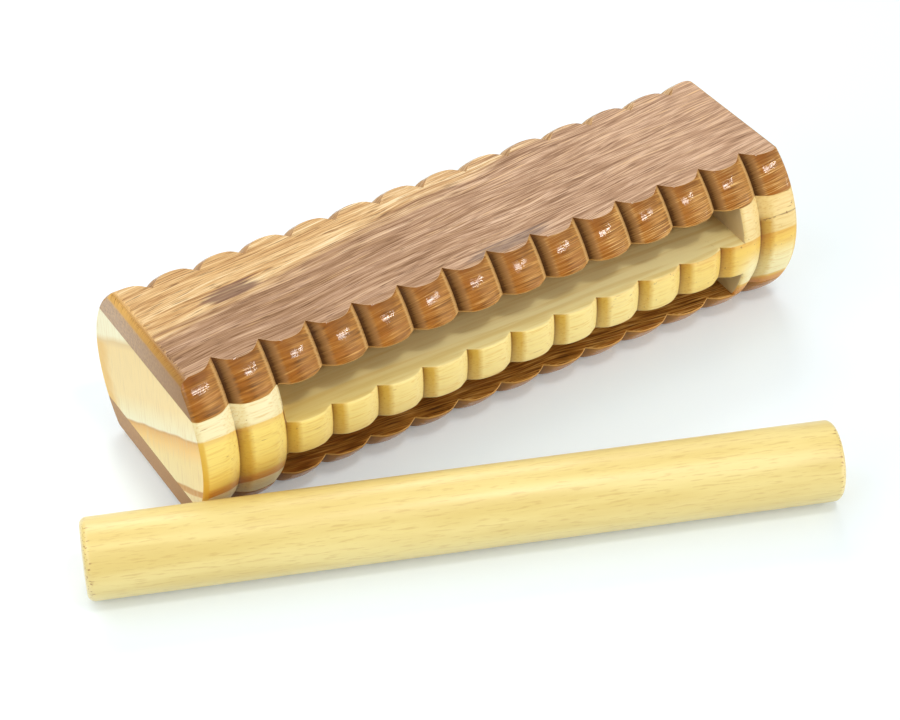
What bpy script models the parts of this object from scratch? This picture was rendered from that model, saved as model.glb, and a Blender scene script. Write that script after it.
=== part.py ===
"""Reco-reco: a beaded scraper block of two hardwood plates on a slotted pine core, and its stick.

The three boards are glued into a sandwich and turned between centres, so that beads with sharp
notches between them run round the block's long sides. The sandwich is wider than it is high, so
its top and bottom stay flat. Metres, +Z up, +X along the block, origin at the centre of its base.
"""

import math

import bmesh
import bpy
from mathutils import Vector

MM = 0.001

# Boards of the block, from the table up: plate, glue, core, glue, plate.
BLOCK_LENGTH = 190 * MM
PLATE_THICKNESS = 9.2 * MM
CORE_HEIGHT = 31 * MM
GLUE_LINE = 0.3 * MM

# Turned sides. A notch has two straight flanks, and a bead is the crowned top between two notches.
CREST_RADIUS = 32.2 * MM
BEAD_PITCH = 14 * MM
NOTCH_DEPTH = 2.3 * MM
NOTCH_FLANK = 3 * MM  # from the bottom of a notch to its edge, along X
BEAD_CROWN = 0.45 * MM  # how far the middle of a bead stands above its edges
FIRST_NOTCH = 11.5 * MM  # from the left end of the block
END_BEAD_ROUND = 2.5 * MM  # where the last bead turns in to the end of the blank
END_TRIM = 0.4 * MM  # sawn off each end of the turned blank

# Ends of the two flats, rounded over by hand.
FLAT_ROUND = 3.2 * MM

# Sound slots, one above the tongue and one below it, open at the front and the back.
TONGUE_THICKNESS = 11 * MM
LEFT_POST = 26 * MM
RIGHT_POST = 17.5 * MM

# Stick, lying on the table, tucked in below the bulge at the front left corner of the block.
STICK_DIAMETER = 22 * MM
STICK_LENGTH = 202 * MM
STICK_RIM = 2 * MM
STICK_TURN = math.radians(-20.7)
STICK_CLEARANCE = 1.2 * MM  # to the bulge of the block, above it
STICK_OVERHANG = 34.8 * MM  # past the block's corner

# Facets.
BEAD_STEPS = 4
ROUND_STEPS = 4
TURN_STEPS = 72
STICK_STEPS = 48
SHARP_ANGLE = math.radians(30)

# How far a cutter runs past what it cuts.
OVERRUN = 5 * MM

# Sizes that follow.
BLANK_END = BLOCK_LENGTH / 2 + END_TRIM
CORE_BASE = PLATE_THICKNESS + GLUE_LINE
CORE_TOP = CORE_BASE + CORE_HEIGHT
TOP_PLATE_BASE = CORE_TOP + GLUE_LINE
BLOCK_HEIGHT = TOP_PLATE_BASE + PLATE_THICKNESS
AXIS_HEIGHT = BLOCK_HEIGHT / 2
TONGUE_BASE = AXIS_HEIGHT - TONGUE_THICKNESS / 2
TONGUE_TOP = AXIS_HEIGHT + TONGUE_THICKNESS / 2


def start_scene():
    """Empty the scene and give it one collection for the pieces and one for the cutters."""
    for old in list(bpy.data.objects):
        bpy.data.objects.remove(old, do_unlink=True)
    pieces = bpy.data.collections.new("reco_reco")
    cutters = bpy.data.collections.new("cutters")
    for group in (pieces, cutters):
        bpy.context.scene.collection.children.link(group)
    return pieces, cutters


def wood(name, colour, roughness):
    """Wood of one colour, in linear values."""
    material = bpy.data.materials.new(name)
    material.use_nodes = True
    shader = material.node_tree.nodes["Principled BSDF"]
    shader.inputs["Base Color"].default_value = (*colour, 1.0)
    shader.inputs["Roughness"].default_value = roughness
    shader.inputs["Metallic"].default_value = 0.0
    return material


def arc(centre, radius, start, end, steps):
    """Points (along, out) on an arc. An angle of 0 points straight out, and a positive one to +X."""
    points = []
    for i in range(steps + 1):
        angle = start + (end - start) * i / steps
        points.append((centre[0] + radius * math.sin(angle), centre[1] + radius * math.cos(angle)))
    return points


def turned_object(name, outline, steps, group):
    """Solid of revolution about X. The outline runs from its right end to its left end."""
    mesh = bpy.data.meshes.new(name)
    edges = [(i, i + 1) for i in range(len(outline) - 1)]
    mesh.from_pydata([(along, out, 0.0) for along, out in outline], edges, [])
    turned = bpy.data.objects.new(name, mesh)
    group.objects.link(turned)
    screw = turned.modifiers.new("turn", "SCREW")
    screw.axis = "X"
    screw.steps = steps
    screw.render_steps = steps
    screw.use_merge_vertices = True
    screw.merge_threshold = 0.00001
    return turned


def notch_places():
    """Each notch's place along X, as many as leave the last bead its full height."""
    last_bead = BEAD_PITCH / 2 + END_BEAD_ROUND
    spaces = math.floor((BLOCK_LENGTH - FIRST_NOTCH - last_bead) / BEAD_PITCH)
    return [FIRST_NOTCH - BLOCK_LENGTH / 2 + i * BEAD_PITCH for i in range(spaces + 1)]


def blank_outline():
    """Half outline of the turned blank: a crowned bead between every two notches, and round ends."""
    half = BEAD_PITCH / 2
    half_top = half - NOTCH_FLANK
    crown_radius = (half_top**2 + BEAD_CROWN**2) / (2 * BEAD_CROWN)
    crown_centre = CREST_RADIUS - crown_radius
    reach = math.asin(half_top / crown_radius)
    notch_radius = CREST_RADIUS - NOTCH_DEPTH
    notches = notch_places()

    round_place = BLANK_END - END_BEAD_ROUND
    round_centre = CREST_RADIUS - END_BEAD_ROUND
    quarter = math.pi / 2

    points = [(BLANK_END, 0.0)]
    points += arc((round_place, round_centre), END_BEAD_ROUND, quarter, 0, ROUND_STEPS)
    points += arc((notches[-1] + half, crown_centre), crown_radius, 0, -reach, BEAD_STEPS // 2)
    for notch in reversed(notches[:-1]):
        points.append((notch + BEAD_PITCH, notch_radius))
        points += arc((notch + half, crown_centre), crown_radius, reach, -reach, BEAD_STEPS)
    points.append((notches[0], notch_radius))
    points += arc((notches[0] - half, crown_centre), crown_radius, reach, 0, BEAD_STEPS // 2)
    points += arc((-round_place, round_centre), END_BEAD_ROUND, 0, -quarter, ROUND_STEPS)
    points.append((-BLANK_END, 0.0))
    return points


def as_cutter(cutter):
    """Keep a helper shape out of the finished object."""
    cutter.hide_render = True
    cutter.display_type = "WIRE"
    return cutter


def cuboid(name, low, high, group):
    """Box between two corners, with its origin at its middle."""
    low, high = Vector(low), Vector(high)
    bpy.ops.mesh.primitive_cube_add(size=1, location=(low + high) / 2)
    box = bpy.context.object
    box.name = box.data.name = name
    box.scale = high - low
    bpy.ops.object.transform_apply(location=False, rotation=False, scale=True)
    box.users_collection[0].objects.unlink(box)
    group.objects.link(box)
    return box


def board(name, base, top, group):
    """Board of the sandwich before turning: full length, and wider than the turned blank."""
    half_length = BLOCK_LENGTH / 2
    half_width = CREST_RADIUS + OVERRUN
    return cuboid(name, (-half_length, -half_width, base), (half_length, half_width, top), group)


def runs_across(edge):
    """Whether an edge of a board lies across the grain, along Y."""
    start, end = (vertex.co for vertex in edge.verts)
    direction = end - start
    return abs(direction.y) > abs(direction.x) + abs(direction.z)


def round_flat_ends(plate, side):
    """Round over the two edges across the grain, on the plate's upper (1) or lower (-1) face."""
    shape = bmesh.new()
    shape.from_mesh(plate.data)
    bmesh.ops.bevel(
        shape,
        geom=[edge for edge in shape.edges if runs_across(edge) and edge.verts[0].co.z * side > 0],
        offset=FLAT_ROUND,
        segments=ROUND_STEPS,
        profile=0.5,
        affect="EDGES",
    )
    shape.to_mesh(plate.data)
    shape.free()


def cut(piece, operation, tool):
    """Add one Boolean to a piece."""
    step = piece.modifiers.new(tool.name, "BOOLEAN")
    step.operation = operation
    step.solver = "EXACT"
    step.object = tool


def finish(piece, material, parent):
    """Apply the modifiers, shade the rounds smooth, and give the piece its wood and its parent."""
    view = bpy.context.evaluated_depsgraph_get()
    mesh = bpy.data.meshes.new_from_object(piece.evaluated_get(view))
    piece.modifiers.clear()
    piece.data = mesh
    mesh.name = piece.name
    mesh.shade_smooth()
    mesh.set_sharp_from_angle(angle=SHARP_ANGLE)
    mesh.materials.clear()
    mesh.materials.append(material)
    piece.parent = parent


def make_slot(name, base, top, cutters):
    """Slot between the two end posts, right through from front to back."""
    half_width = CREST_RADIUS + 2 * OVERRUN
    left = LEFT_POST - BLOCK_LENGTH / 2
    right = BLOCK_LENGTH / 2 - RIGHT_POST
    return as_cutter(cuboid(name, (left, -half_width, base), (right, half_width, top), cutters))


def make_block(pieces, cutters):
    """Three boards, each trimmed to the same turned blank."""
    block = bpy.data.objects.new("block", None)
    pieces.objects.link(block)

    blank = as_cutter(turned_object("turned_blank", blank_outline(), TURN_STEPS, cutters))
    blank.location.z = AXIS_HEIGHT
    upper_slot = make_slot("upper_slot", TONGUE_TOP, CORE_TOP + OVERRUN, cutters)
    lower_slot = make_slot("lower_slot", CORE_BASE - OVERRUN, TONGUE_BASE, cutters)

    bottom_plate = board("bottom_plate", 0.0, PLATE_THICKNESS, pieces)
    pine_core = board("pine_core", CORE_BASE, CORE_TOP, pieces)
    top_plate = board("top_plate", TOP_PLATE_BASE, BLOCK_HEIGHT, pieces)
    round_flat_ends(bottom_plate, -1)
    round_flat_ends(top_plate, 1)
    for slot in (upper_slot, lower_slot):
        cut(pine_core, "DIFFERENCE", slot)
    for piece in (bottom_plate, pine_core, top_plate):
        cut(piece, "INTERSECT", blank)

    hardwood = wood("varnished_hardwood", (0.28, 0.12, 0.045), 0.35)
    pine = wood("varnished_pine", (0.80, 0.58, 0.27), 0.40)
    finish(bottom_plate, hardwood, block)
    finish(pine_core, pine, block)
    finish(top_plate, hardwood, block)


def stick_outline():
    """Half outline of the stick: a plain dowel with rounded rims."""
    half = STICK_LENGTH / 2
    rim_centre = STICK_DIAMETER / 2 - STICK_RIM
    quarter = math.pi / 2
    points = [(half, 0.0)]
    points += arc((half - STICK_RIM, rim_centre), STICK_RIM, quarter, 0, ROUND_STEPS)
    points += arc((STICK_RIM - half, rim_centre), STICK_RIM, 0, -quarter, ROUND_STEPS)
    points.append((-half, 0.0))
    return points


def stick_distance():
    """How far the axis of the stick stays from the crest of a bead, seen from above."""
    rise = AXIS_HEIGHT - STICK_DIAMETER / 2
    apart = CREST_RADIUS + STICK_CLEARANCE + STICK_DIAMETER / 2
    return math.sqrt(apart**2 - rise**2) - CREST_RADIUS


def make_stick(pieces):
    """Stick, placed by the round of the block's corner that it lies beside."""
    corner = Vector((END_BEAD_ROUND - BLANK_END, END_BEAD_ROUND - CREST_RADIUS, STICK_DIAMETER / 2))
    along = Vector((math.cos(STICK_TURN), math.sin(STICK_TURN), 0.0))
    away = Vector((math.sin(STICK_TURN), -math.cos(STICK_TURN), 0.0))
    beside_corner = corner + away * (END_BEAD_ROUND + stick_distance())

    stick = turned_object("scraper_stick", stick_outline(), STICK_STEPS, pieces)
    stick.location = beside_corner + along * (STICK_LENGTH / 2 - STICK_OVERHANG)
    stick.rotation_euler.z = STICK_TURN
    finish(stick, wood("sanded_dowel", (0.82, 0.63, 0.28), 0.50), None)


def main():
    pieces, cutters = start_scene()
    make_block(pieces, cutters)
    make_stick(pieces)


main()
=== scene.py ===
# %% [markdown]
# # A reco-reco and its stick
# A reco-reco is a scraper: a stick is rubbed over a row of beads and the block rattles. This one is a
# sandwich of two brown hardwood plates on a pine core, turned between centres as one blank.
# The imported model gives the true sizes, so it is loaded first and everything is built around it.

import math
from types import SimpleNamespace

import bmesh
import bpy
from mathutils import Matrix, Vector


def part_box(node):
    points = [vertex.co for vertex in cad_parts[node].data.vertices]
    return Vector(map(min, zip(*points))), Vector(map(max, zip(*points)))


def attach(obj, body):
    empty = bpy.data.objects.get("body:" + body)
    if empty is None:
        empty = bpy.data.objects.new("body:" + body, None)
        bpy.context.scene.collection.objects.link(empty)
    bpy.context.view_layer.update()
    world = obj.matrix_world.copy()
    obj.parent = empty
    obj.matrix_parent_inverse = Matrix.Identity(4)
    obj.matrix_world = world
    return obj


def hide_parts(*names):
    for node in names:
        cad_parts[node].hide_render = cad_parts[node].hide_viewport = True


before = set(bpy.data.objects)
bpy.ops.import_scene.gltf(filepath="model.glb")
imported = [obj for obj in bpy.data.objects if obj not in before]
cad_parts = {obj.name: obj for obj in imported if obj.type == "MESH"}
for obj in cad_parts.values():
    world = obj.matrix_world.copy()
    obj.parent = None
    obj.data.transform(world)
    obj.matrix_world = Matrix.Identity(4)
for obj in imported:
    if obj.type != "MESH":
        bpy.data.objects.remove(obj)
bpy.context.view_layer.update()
bpy.ops.object.select_all(action="DESELECT")

# %% [markdown]
# ## Sizes
# Lengths are metres, as in the frame, and MM turns millimetres into them. What the frame knows is
# read from the boxes of its nodes. What a box can't tell, such as the pitch of the beads, is written
# here once, at the size that the frame was built with.

# %% Sizes of the block
MM = 0.001

top_low, top_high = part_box("top_plate")
core_low, core_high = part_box("pine_core")
base_low, base_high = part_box("bottom_plate")

HALF_LENGTH = top_high.x
AXIS_HEIGHT = (base_low.z + top_high.z) / 2
CREST_RADIUS = core_high.y
UPPER_SEAM = (core_high.z + top_low.z) / 2
LOWER_SEAM = (base_high.z + core_low.z) / 2

BEAD_PITCH = 14 * MM
NOTCH_DEPTH = 2.3 * MM
NOTCH_FLANK = 3 * MM
BEAD_CROWN = 0.45 * MM
RIDGE_ROUND = 0.25 * MM
NOTCH_COUNT = 13
LEFT_BEAD = 11.5 * MM
LEFT_END_ROUND = 2.5 * MM
RIGHT_END_ROUND = 3 * MM
END_TRIM = 0.4 * MM
LEFT_FLAT_ROUND = 3.2 * MM
RIGHT_FLAT_ROUND = 1.2 * MM
TONGUE_HALF = 5.5 * MM
LEFT_POST = 26 * MM
RIGHT_POST = 17.5 * MM

FIRST_NOTCH = LEFT_BEAD - HALF_LENGTH
LEFT_WALL = LEFT_POST - HALF_LENGTH
RIGHT_WALL = HALF_LENGTH - RIGHT_POST

block_size = (2 * HALF_LENGTH, 2 * CREST_RADIUS, top_high.z)
print("block, mm:", [round(length / MM, 1) for length in block_size])

# %% [markdown]
# ## The turned profile
# On the lathe a pointed tool cut the notches. Each flank is straight, the crown between two notches is a
# shallow bow, and sanding left a soft ridge where they meet. The ridge is the larger of the two cuts,
# smoothed with a hypotenuse. One function gives the radius of the blank anywhere along X, so the plates,
# the core and the tongue all follow the same cut, as the real boards do because they were turned together.

# %% Radius of the blank along X
HALF_BEAD = BEAD_PITCH / 2
LAST_NOTCH = FIRST_NOTCH + (NOTCH_COUNT - 1) * BEAD_PITCH
CROWN_HALF = HALF_BEAD - NOTCH_FLANK
FLANK_SLOPE = (NOTCH_DEPTH - BEAD_CROWN) / NOTCH_FLANK


def bead_cut(x):
    """How deep the tool went below the crests at a place along the axis."""
    if x < FIRST_NOTCH - HALF_BEAD or x > LAST_NOTCH + HALF_BEAD:
        return 0.0
    from_crest = abs((x - FIRST_NOTCH) % BEAD_PITCH - HALF_BEAD)
    crown = BEAD_CROWN * (from_crest / CROWN_HALF) ** 2
    flank = BEAD_CROWN + FLANK_SLOPE * (from_crest - CROWN_HALF)
    return (crown + flank + math.hypot(crown - flank, RIDGE_ROUND)) / 2


def blank_radius(x):
    """Radius of the turned blank at a place along its axis."""
    end_round = RIGHT_END_ROUND if x > 0 else LEFT_END_ROUND
    past_round = max(abs(x) - (HALF_LENGTH + END_TRIM - end_round), 0.0)
    end_cut = end_round - math.sqrt(end_round**2 - past_round**2)
    return CREST_RADIUS - bead_cut(x) - end_cut


def flat_height(x):
    """How high the flats stand above the axis: full height, and rounded over at both ends."""
    full = top_high.z - AXIS_HEIGHT
    flat_round = RIGHT_FLAT_ROUND if x > 0 else LEFT_FLAT_ROUND
    past_flat = max(abs(x) - (HALF_LENGTH - flat_round), 0.0)
    return full - flat_round + math.sqrt(max(flat_round**2 - past_flat**2, 0.0))


print("notch radius, mm:", round(blank_radius(FIRST_NOTCH) / MM, 2))

# %% [markdown]
# ## Where the rings go
# A board is built from rings of points, one ring at each place along X. They stand close where the
# outline turns quickly, at the beads and at the rounded ends, and a ring stands exactly in each notch,
# so that the notch stays a sharp line.

# %% Places of the rings
BEAD_STEPS = 14
ROUND_STEPS = 9


def ring_places():
    """Places along X from the left end to the right end."""
    around = [0.0]
    for step in range(1, BEAD_STEPS + 1):
        reach = HALF_BEAD * math.sin(math.pi / 2 * step / BEAD_STEPS)
        around += [-reach, reach]
    places = set()
    for i in range(-1, NOTCH_COUNT):
        crest = FIRST_NOTCH + i * BEAD_PITCH + HALF_BEAD
        places.update(round(crest + step, 7) for step in around)
    left_round = max(LEFT_END_ROUND, LEFT_FLAT_ROUND)
    right_round = max(RIGHT_END_ROUND, RIGHT_FLAT_ROUND)
    first = max(FIRST_NOTCH - HALF_BEAD, left_round - HALF_LENGTH)
    last = min(LAST_NOTCH + HALF_BEAD, HALF_LENGTH - right_round)
    kept = [x for x in places if first <= x <= last]
    for step in range(ROUND_STEPS + 1):
        short = 1 - math.sin(math.pi / 2 * step / ROUND_STEPS)
        kept += [left_round * short - HALF_LENGTH, HALF_LENGTH - right_round * short]
    return sorted(kept)


places = ring_places()
print("rings along the block:", len(places))

# %% [markdown]
# ## One ring of a plate
# Cut across, a plate is a slice of a disc between two levels. Real edges are never knife sharp: a
# touch of sandpaper eases them, and the tiny round catches the light. The outline is drawn with that
# round in it. A Bevel modifier after a Boolean could do it too, but the cut leaves slivers along the
# edge that spoil the bevel.

# %% Points of an outline
EDGE_EASE = 0.35 * MM
SEAM_EASE = 0.06 * MM
SEAM_GAP = 0.03 * MM
FLAT_STEPS = 12
ARC_STEPS = 12
EASE_STEPS = 3


def eased_corner(radius, height, ease, side):
    """Inner corner of an edge at a height from the axis, and the angle at which its round meets the side."""
    level = height - side * ease
    out = math.sqrt((radius - ease) ** 2 - level**2)
    return Vector((out, level)), math.atan2(level, out)


def corner_points(corner, ease, start, end):
    """Points of an eased edge, from one angle to another."""
    points = []
    for step in range(EASE_STEPS + 1):
        angle = start + (end - start) * step / EASE_STEPS
        points.append(corner + ease * Vector((math.cos(angle), math.sin(angle))))
    return points


def arc_points(radius, start, end):
    """Points between the two ends of a turned side, which are left to its corners."""
    points = []
    for step in range(1, ARC_STEPS):
        angle = start + (end - start) * step / ARC_STEPS
        points.append(radius * Vector((math.cos(angle), math.sin(angle))))
    return points


def flat_points(level, out):
    """Points along a flat, from the middle of the board to just short of its edge."""
    return [Vector((out * step / FLAT_STEPS, level)) for step in range(FLAT_STEPS)]


# %% Ring of a plate
def slice_side(radius, low, high, ease_low, ease_high):
    """Right half of a slice, as (out, up) points from the middle of its lower face to its upper one."""
    down = -math.pi / 2
    up = math.pi / 2
    low_corner, low_angle = eased_corner(radius, low, ease_low, -1)
    high_corner, high_angle = eased_corner(radius, high, ease_high, 1)
    side = flat_points(low, low_corner.x)
    side += corner_points(low_corner, ease_low, down, low_angle)
    side += arc_points(radius, low_angle, high_angle)
    side += corner_points(high_corner, ease_high, high_angle, up)
    side += reversed(flat_points(high, high_corner.x))
    return side


def whole_ring(x, side):
    """Closed ring at a place along X, from its right half: the left half mirrors it."""
    right = [Vector((x, point.x, AXIS_HEIGHT + point.y)) for point in side]
    left = [Vector((x, -point.x, AXIS_HEIGHT + point.y)) for point in reversed(side[1:-1])]
    return right + left


# %% [markdown]
# ## Rolling a board
# A grid is a flat sheet of quads. It gets one row for each ring and one column for each point of the
# ring, and every vertex then moves to its place, as if the sheet were rolled round the board. Merging
# doubles closes the seam, and the two open ends are filled.

# %% From rings to a board
MERGE = 0.001 * MM
SHARP = math.radians(28)


def select_points(piece, test):
    """Select in edit mode the points whose place passes a test."""
    bpy.ops.mesh.select_all(action="DESELECT")
    shape = bmesh.from_edit_mesh(piece.data)
    for point in shape.verts:
        if test(point.co):
            point.select_set(True)
    shape.select_flush(True)
    bmesh.update_edit_mesh(piece.data)


def roll_board(name, rings):
    """Closed board through a row of rings that all have the same number of points."""
    rows = len(rings) - 1
    columns = len(rings[0])
    bpy.ops.object.select_all(action="DESELECT")
    bpy.ops.mesh.primitive_grid_add(x_subdivisions=columns, y_subdivisions=rows, size=1)
    board = bpy.context.object
    board.name = board.data.name = name
    for vertex in board.data.vertices:
        column = round((vertex.co.x + 0.5) * columns)
        row = round((vertex.co.y + 0.5) * rows)
        vertex.co = rings[row][column % columns]
    bpy.ops.object.mode_set(mode="EDIT")
    bpy.ops.mesh.select_all(action="SELECT")
    bpy.ops.mesh.remove_doubles(threshold=MERGE)
    for end in (rings[0][0].x, rings[-1][0].x):
        select_points(board, lambda place: abs(place.x - end) < MERGE)
        bpy.ops.mesh.edge_face_add()
    bpy.ops.mesh.select_all(action="SELECT")
    bpy.ops.mesh.normals_make_consistent(inside=False)
    bpy.ops.object.mode_set(mode="OBJECT")
    bpy.ops.object.shade_smooth_by_angle(angle=SHARP)
    print(name, "has", len(board.data.polygons), "faces")
    return board


# %% [markdown]
# ## The two hardwood plates
# The top plate is the one that is scraped. The bottom plate is the same board turned over. Over the
# posts their edge is glued flush, so it stays tight there, and along the sound slot it is free and eased.

# %% Plates
def free_edge(x):
    """Ease of a plate's glued face: an open edge along the slot, and a tight seam over the posts."""
    return EDGE_EASE if LEFT_WALL < x < RIGHT_WALL else SEAM_EASE


def top_ring(x):
    """Ring of the top plate."""
    low = UPPER_SEAM + SEAM_GAP - AXIS_HEIGHT
    return whole_ring(x, slice_side(blank_radius(x), low, flat_height(x), free_edge(x), EDGE_EASE))


def bottom_ring(x):
    """Ring of the bottom plate."""
    high = LOWER_SEAM - SEAM_GAP - AXIS_HEIGHT
    return whole_ring(x, slice_side(blank_radius(x), -flat_height(x), high, EDGE_EASE, free_edge(x)))


top_plate = roll_board("top_board", [top_ring(x) for x in places])
bottom_plate = roll_board("bottom_board", [bottom_ring(x) for x in places])
for piece, node in ((top_plate, "top_plate"), (bottom_plate, "bottom_plate")):
    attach(piece, "block")
    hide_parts(node)

# %% [markdown]
# ## The pine core
# The core is one piece of pine, sawn away above and below so that a tongue is left between two posts.
# Its rings are of two kinds with the same number of points, so that the grid can run from one to the
# other: a post's ring goes right round, and a tongue's ring lays the points that have nothing to
# do along its upper and lower face. Where both stand at one place, the sheet between them is the wall
# at the end of the slot.

# %% Outlines of the core
CORE_LOW = LOWER_SEAM + SEAM_GAP - AXIS_HEIGHT
CORE_HIGH = UPPER_SEAM - SEAM_GAP - AXIS_HEIGHT
TONGUE_EASE = 0.55 * MM


def tongue_edge(radius, side):
    """Points of the tongue's eased edge above (1) or below (-1), going up."""
    corner, angle = eased_corner(radius, side * TONGUE_HALF, TONGUE_EASE, side)
    if side > 0:
        return corner_points(corner, TONGUE_EASE, angle, math.pi / 2)
    return corner_points(corner, TONGUE_EASE, -math.pi / 2, angle)


def post_side(radius, recess):
    """Right half of a post, set back by a recess beside a slot, but not where the tongue joins it."""
    inner = radius - recess
    low_corner, low_angle = eased_corner(inner, CORE_LOW, SEAM_EASE, -1)
    high_corner, high_angle = eased_corner(inner, CORE_HIGH, SEAM_EASE, 1)
    tongue_low = math.asin(-TONGUE_HALF / radius)
    ease_low = eased_corner(radius, -TONGUE_HALF, TONGUE_EASE, -1)[1]
    zero = Vector((0.0, 0.0))
    side = flat_points(CORE_LOW, low_corner.x)
    side += corner_points(low_corner, SEAM_EASE, -math.pi / 2, low_angle)
    side += arc_points(inner, low_angle, tongue_low)
    side += corner_points(zero, radius, tongue_low, ease_low)
    side += arc_points(radius, ease_low, -ease_low)
    side += corner_points(zero, radius, -ease_low, -tongue_low)
    side += arc_points(inner, -tongue_low, high_angle)
    side += corner_points(high_corner, SEAM_EASE, high_angle, math.pi / 2)
    side += reversed(flat_points(CORE_HIGH, high_corner.x))
    return side


def tongue_side(radius):
    """Right half of the tongue, with as many points as a post has."""
    lower = tongue_edge(radius, -1)
    upper = tongue_edge(radius, 1)
    ease_angle = eased_corner(radius, TONGUE_HALF, TONGUE_EASE, 1)[1]
    spare = FLAT_STEPS + EASE_STEPS + ARC_STEPS
    face = [lower[0].x * step / spare for step in range(spare)]
    side = [Vector((out, -TONGUE_HALF)) for out in face]
    side += lower + arc_points(radius, -ease_angle, ease_angle) + upper
    side += [Vector((out, TONGUE_HALF)) for out in reversed(face)]
    return side


# %% Core
WALL_EASE = 1.0 * MM
WALL_STEPS = 4


def post_ring(x, wall):
    """Ring of a post, with the edge beside its slot wall rounded."""
    short = WALL_EASE - abs(x - wall)
    recess = WALL_EASE - math.sqrt(WALL_EASE**2 - max(short, 0.0) ** 2)
    return whole_ring(x, post_side(blank_radius(x), recess))


def core_rings():
    """Rings of the left post, the tongue and the right post."""
    angles = [math.pi / 2 * step / WALL_STEPS for step in range(WALL_STEPS)]
    rounds = [WALL_EASE * (1 - math.sin(angle)) for angle in angles]
    left_post = [x for x in places if x < LEFT_WALL - WALL_EASE - MERGE]
    left_post += [LEFT_WALL - step for step in rounds]
    tongue = [x for x in places if LEFT_WALL + MERGE < x < RIGHT_WALL - MERGE]
    right_post = [RIGHT_WALL + step for step in rounds]
    right_post += [x for x in places if x > RIGHT_WALL + WALL_EASE + MERGE]
    rings = [post_ring(x, LEFT_WALL) for x in sorted(left_post) + [LEFT_WALL]]
    rings += [whole_ring(x, tongue_side(blank_radius(x))) for x in [LEFT_WALL, *tongue, RIGHT_WALL]]
    rings += [post_ring(x, RIGHT_WALL) for x in [RIGHT_WALL] + sorted(right_post)]
    return rings


core = roll_board("core_board", core_rings())
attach(core, "block")
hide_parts("pine_core")

# %% [markdown]
# ## A saw cut out of square
# The glued and turned blank was sawn to length last, and the saw ran a little askew at the right end. All
# three boards share that cut, so their points past the last notch lean by the same share.

# %% Right end askew
SAW_LEAN = math.tan(math.radians(3))

for piece in (top_plate, core, bottom_plate):
    for vertex in piece.data.vertices:
        past_notch = max(vertex.co.x - LAST_NOTCH, 0.0) / (HALF_LENGTH - LAST_NOTCH)
        vertex.co.x -= SAW_LEAN * vertex.co.y * past_notch
print("lean at the rim, mm:", round(SAW_LEAN * CREST_RADIUS / MM, 2))

# %% [markdown]
# ## The stick
# The stick is a plain dowel with sanded rims. A cylinder is the start: its two rim edges are bevelled
# round, and each end face is inset and pushed out a hair, because sanding leaves it a little crowned.

# %% Stick
STICK_LENGTH = 202 * MM
STICK_TURN = math.radians(-20.7)
STICK_RIM = 2 * MM
STICK_SIDES = 96
RIM_STEPS = 6
CROWN = 0.15 * MM

stick_low, stick_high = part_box("scraper_stick")
STICK_RADIUS = (stick_high.z - stick_low.z) / 2
END_INSET = STICK_RADIUS / 3
STICK_CENTRE = (stick_low + stick_high) / 2

bpy.ops.object.select_all(action="DESELECT")
bpy.ops.mesh.primitive_cylinder_add(
    vertices=STICK_SIDES, radius=STICK_RADIUS, depth=STICK_LENGTH - 2 * CROWN, end_fill_type="NGON",
    rotation=(0, math.pi / 2, 0),
)
stick = bpy.context.object
stick.name = stick.data.name = "stick"
bpy.ops.object.transform_apply(location=False, rotation=True, scale=False)

# %% Rims and ends of the stick
bpy.ops.object.mode_set(mode="EDIT")
bpy.ops.mesh.select_all(action="DESELECT")
shape = bmesh.from_edit_mesh(stick.data)
for edge in shape.edges:
    start, end = (vertex.co for vertex in edge.verts)
    edge.select_set(abs(start.x - end.x) < MERGE)
bmesh.update_edit_mesh(stick.data)
bpy.ops.mesh.bevel(offset=STICK_RIM, offset_type="OFFSET", segments=RIM_STEPS, profile=0.5, affect="EDGES")
for side in (-1, 1):
    end = side * (STICK_LENGTH / 2 - CROWN)
    select_points(stick, lambda place: abs(place.x - end) < MERGE)
    bpy.ops.mesh.inset(thickness=END_INSET)
    bpy.ops.transform.translate(value=(side * CROWN, 0, 0))
bpy.ops.mesh.select_all(action="SELECT")
bpy.ops.mesh.normals_make_consistent(inside=False)
bpy.ops.object.mode_set(mode="OBJECT")
bpy.ops.object.shade_smooth_by_angle(angle=SHARP)

# %% Stick in its place
stick.rotation_euler.z = STICK_TURN
stick.location = STICK_CENTRE
bpy.ops.object.transform_apply(location=True, rotation=True, scale=False)
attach(stick, "stick")
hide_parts("scraper_stick")
print("stick has", len(stick.data.polygons), "faces")

# %% [markdown]
# ## Tools for the finishes
# Colours are read off the object as sRGB hex values, which one function turns into the linear values
# that the renderer adds up. A second small function adds one node: its settings by name, and a value or
# another node for each of its inputs, in their order or by name. A colour ramp gets its stops the same
# way. Object coordinates are metres, so every pattern starts by turning them into millimetres. Most
# shares come from Map Range, whose numbers are the range that it reads and then the range that it gives.

# %% Colour and node helpers
PER_MM = (1 / MM, 1 / MM, 1 / MM)


def colour(code):
    """Linear colour of an sRGB hex value."""
    channels = [int(code[i : i + 2], 16) / 255 for i in (1, 3, 5)]
    linear = [c / 12.92 if c <= 0.04045 else ((c + 0.055) / 1.055) ** 2.4 for c in channels]
    return (*linear, 1.0)


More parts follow.
